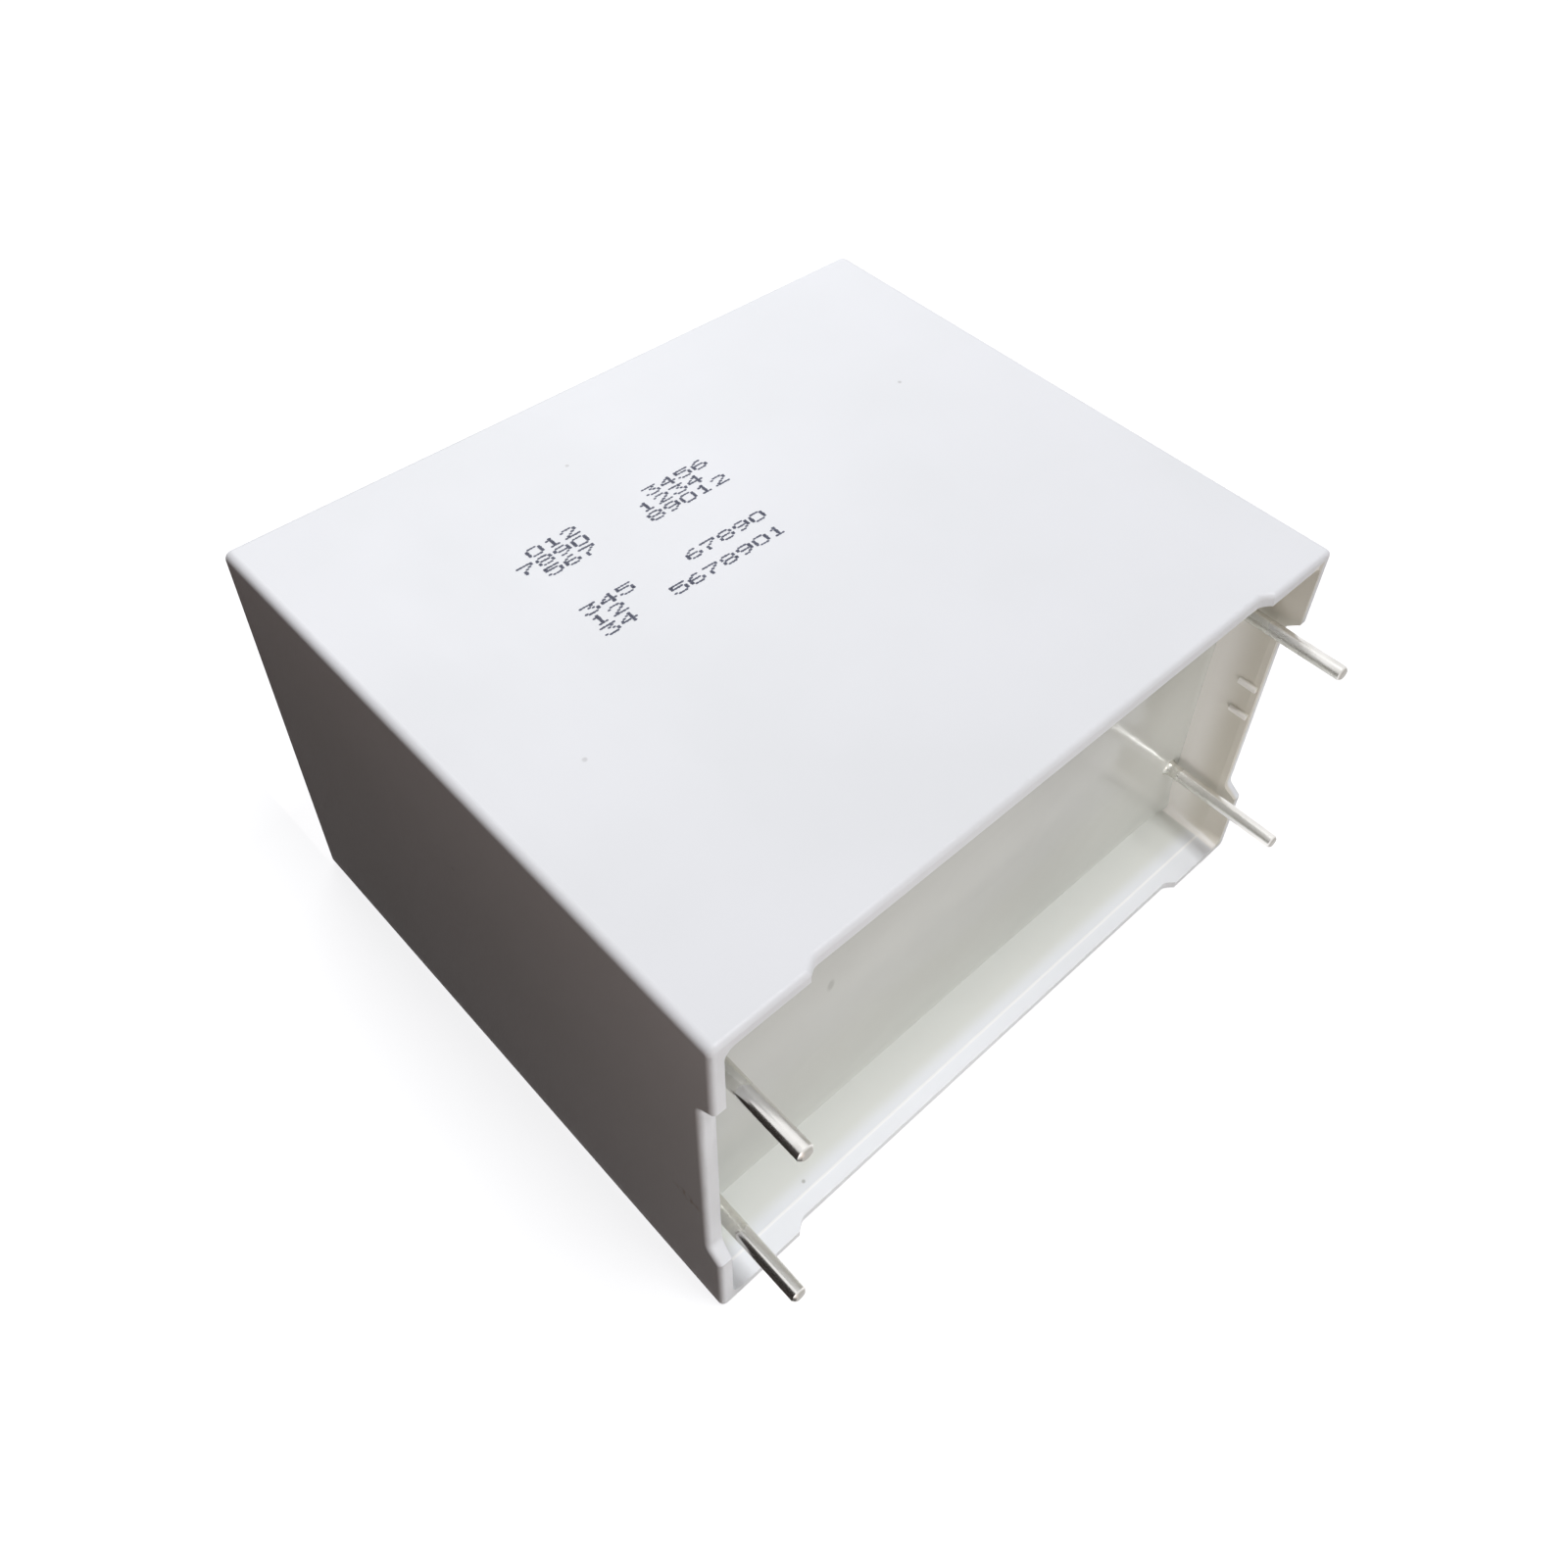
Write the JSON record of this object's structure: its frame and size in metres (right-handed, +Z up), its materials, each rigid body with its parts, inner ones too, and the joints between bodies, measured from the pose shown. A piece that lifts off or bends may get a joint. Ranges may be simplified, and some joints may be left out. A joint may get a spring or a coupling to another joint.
{
  "type": "box film capacitor",
  "caption": "Box film capacitor: a moulded case with stand-off feet, potted with resin over flat film windings, with round wire leads for a circuit board.",
  "frame": {"origin": "middle of the broad side that the box rests on", "axes": "+X along the 57.5 mm length, -Y the way the leads leave, +Z up through the 35 mm thickness"},
  "size_m": [0.0576, 0.0549, 0.035],
  "materials": {
    "case_plastic": "fine satin, white, with soft moulded edges",
    "resin": "smooth, slightly glossy, light grey cast resin",
    "tinned_wire": "bright tin over copper wire",
    "end_spray": "grainy sprayed zinc",
    "metallised_film": "wound plastic film with a metal coat, silvery",
    "plain_film": "clear plain film, a few turns"
  },
  "bodies": {
    "root": {"case": "case_plastic", "potting_resin": "resin", "winding_lower": "metallised_film", "film_wrap_lower": "plain_film", "end_metal_lower_left": "end_spray", "lead_lower_left": "tinned_wire", "end_metal_lower_right": "end_spray", "lead_lower_right": "tinned_wire", "winding_upper": "metallised_film", "film_wrap_upper": "plain_film", "end_metal_upper_left": "end_spray", "lead_upper_left": "tinned_wire", "end_metal_upper_right": "end_spray", "lead_upper_right": "tinned_wire"}
  },
  "joints": []
}
